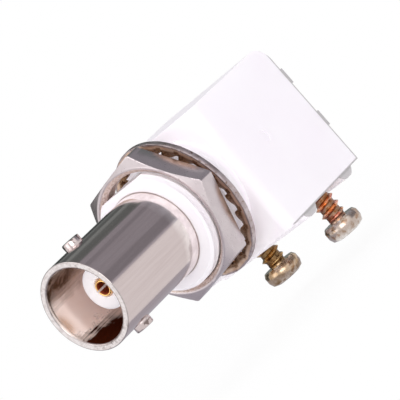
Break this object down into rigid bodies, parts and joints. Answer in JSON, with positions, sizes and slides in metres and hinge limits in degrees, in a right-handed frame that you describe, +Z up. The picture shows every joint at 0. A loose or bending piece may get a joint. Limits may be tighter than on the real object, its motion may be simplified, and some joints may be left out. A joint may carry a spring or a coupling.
{
  "type": "circuit board bnc jack",
  "caption": "Right-angle BNC jack for a circuit board: white isolated housing, threaded collar with panel nut and toothed lock washer, board screws and solder tails.",
  "frame": {"origin": "on the board's surface, midway between the two board screws", "axes": "+Z up from the board, -Y the way the connector faces, +X to the right seen from the plug"},
  "size_m": [0.0162, 0.0358, 0.0208],
  "materials": {
    "white_moulding": "satin",
    "nickel_shell": "polished",
    "white_dielectric": "satin",
    "gold_contact": "polished",
    "tinned_tail": "satin",
    "nickel_nut": "satin",
    "nickel_washer": "satin",
    "yellow_zinc": "yellow zinc plate"
  },
  "bodies": {
    "jack": {"housing": "white_moulding", "rear_cover": "white_moulding", "bnc_shell": "nickel_shell", "dielectric": "white_dielectric", "rear_insulator": "white_dielectric", "centre_contact": "gold_contact", "signal_tail": "tinned_tail", "ground_tail": "tinned_tail"},
    "lock_washer": {"lock_washer": "nickel_washer"},
    "panel_nut": {"panel_nut": "nickel_nut"},
    "board_screw_left": {"board_screw_left": "yellow_zinc"},
    "board_screw_right": {"board_screw_right": "yellow_zinc"}
  },
  "joints": [
    {"name": "washer_slide", "type": "slide", "parent": "jack", "child": "lock_washer", "axis": [0, 1, 0], "range_m": [-0.0019, 0.0004]},
    {"name": "nut_turn", "type": "hinge", "parent": "lock_washer", "child": "panel_nut", "pos_m": [0, -0.0138, 0.0088], "axis": [0, 1, 0], "range_deg": [-755, 160]},
    {"name": "screw_left_drive", "type": "slide", "parent": "jack", "child": "board_screw_left", "axis": [0, 0, 1], "range_m": [-0.002, 0.0008]},
    {"name": "screw_right_drive", "type": "slide", "parent": "jack", "child": "board_screw_right", "axis": [0, 0, 1], "range_m": [-0.002, 0.0008]}
  ],
  "couplings": [
    {"joint": "nut_turn", "follows": "washer_slide", "rad_per_m": 6927.4}
  ]
}
